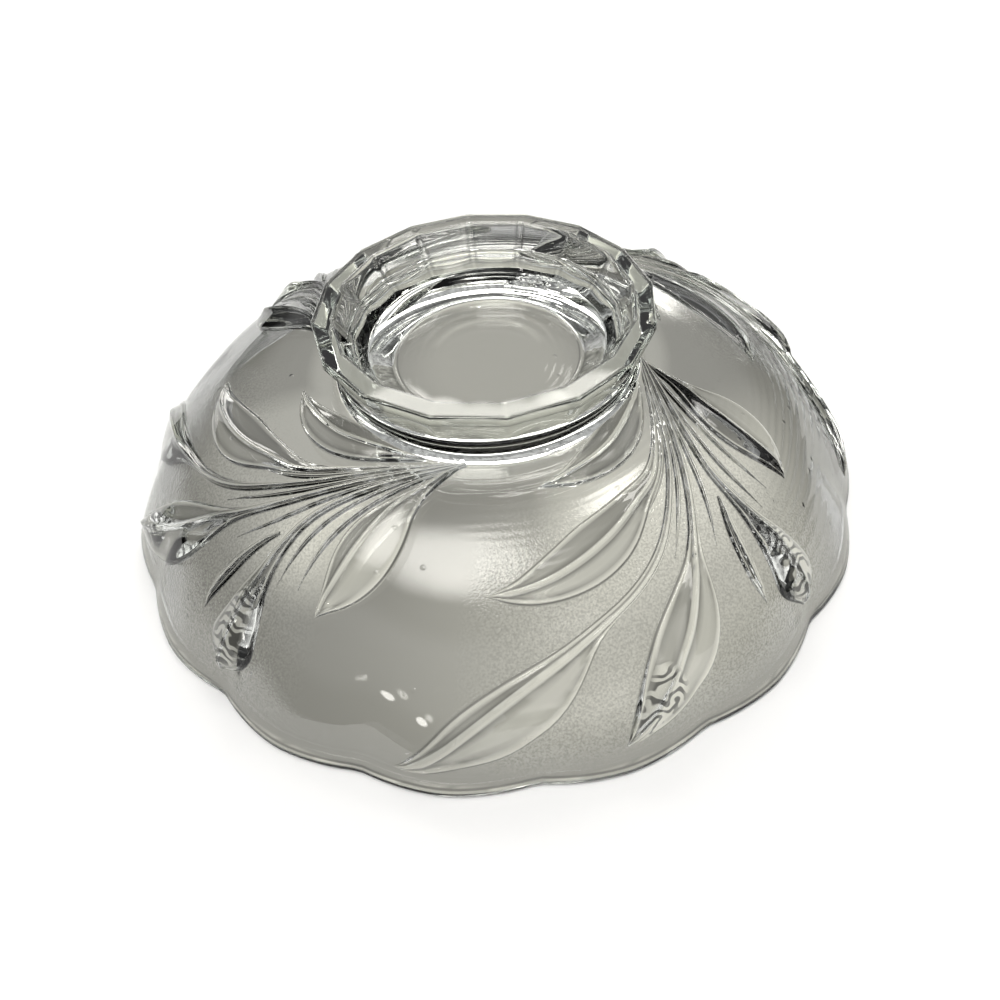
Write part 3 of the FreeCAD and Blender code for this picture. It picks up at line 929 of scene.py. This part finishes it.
# %% Panels of light
lobes = [(-165, 80, 4, 19, 8.5), (-62, 54, 2, 12, 2.5), (45, 63, 3, 9, 8.0), (90, 47.5, 2.6, 4.4, 9.0),
         (-125, 20.3, 1.2, 2.2, 14.0), (-114, 15.4, 1.2, 2.2, 14.0), (-62, 20, 3, 10, 2.0),
         (-90, 14, 4, 11, 2.0), (-72, 14, 4, 11, 2.0), (-54, 13, 4, 10, 2.0)]
lobes += [(azimuth, 46.1 - 0.022 * (azimuth - 92) ** 2, 2.6, 3.4, 8.0)
          for azimuth in (82, 86, 90, 94, 98, 102)]
lobes += [(azimuth, 19, 4, 8.8, 8.0) for azimuth in (72, 90, 108)]
for azimuth, elevation, core, outer, level in lobes:
    a, e = math.radians(azimuth), math.radians(elevation)
    aim = (math.cos(a) * math.cos(e), math.sin(a) * math.cos(e), math.sin(e))
    facing = add_node(tree, "ShaderNodeVectorMath", {0: direction, 1: aim}, operation="DOT_PRODUCT")
    edge_cosine, core_cosine = math.cos(math.radians(outer)), math.cos(math.radians(core))
    spread = add_fade(tree, facing.outputs["Value"], edge_cosine, core_cosine)
    glow = add_mix(tree, spread, glow, (level, level * 0.98, level * 0.93, 1))
print("panels of light:", len(lobes))

# %% [markdown]
# The backdrop is white to the camera alone, so it adds no light to the glass.

# %% White backdrop
path = add_node(tree, "ShaderNodeLightPath")
backdrop = add_mix(tree, path.outputs["Is Camera Ray"], glow, (1, 1, 1, 1))
tree.links.new(backdrop, tree.nodes["Background"].inputs["Color"])
tree.nodes["Background"].inputs["Strength"].default_value = 1
print("nodes in the world:", len(tree.nodes))

# %% [markdown]
# The camera looks down on the bowl from the front, at the angle of the photograph. Its place comes
# from the corners of the foot and the notches of the rim, and the shift puts the bowl where it
# stands in the picture.

# %% Camera
pitch, roll = math.radians(44.56), math.radians(2.85)
camera_place = (0.00952, -0.21123, 0.22030)
forward = Vector((0, math.cos(pitch), -math.sin(pitch)))
right = Vector((1, 0, 0))
up = right.cross(forward)
camera_x = math.cos(roll) * right - math.sin(roll) * up
camera_y = math.sin(roll) * right + math.cos(roll) * up
camera = bpy.data.objects.new("camera", bpy.data.cameras.new("camera"))
bpy.context.scene.collection.objects.link(camera)
camera.matrix_world = Matrix.Translation(camera_place) @ \
    Matrix((camera_x, camera_y, -forward)).transposed().to_4x4()
camera.data.sensor_width = 36
camera.data.lens = 28.8
camera.data.shift_x = -0.0199
camera.data.shift_y = -0.0767
bpy.context.scene.camera = camera
bpy.context.scene.view_settings.view_transform = "Standard"
print("camera at", camera_place, "lens", round(camera.data.lens, 1), "mm")
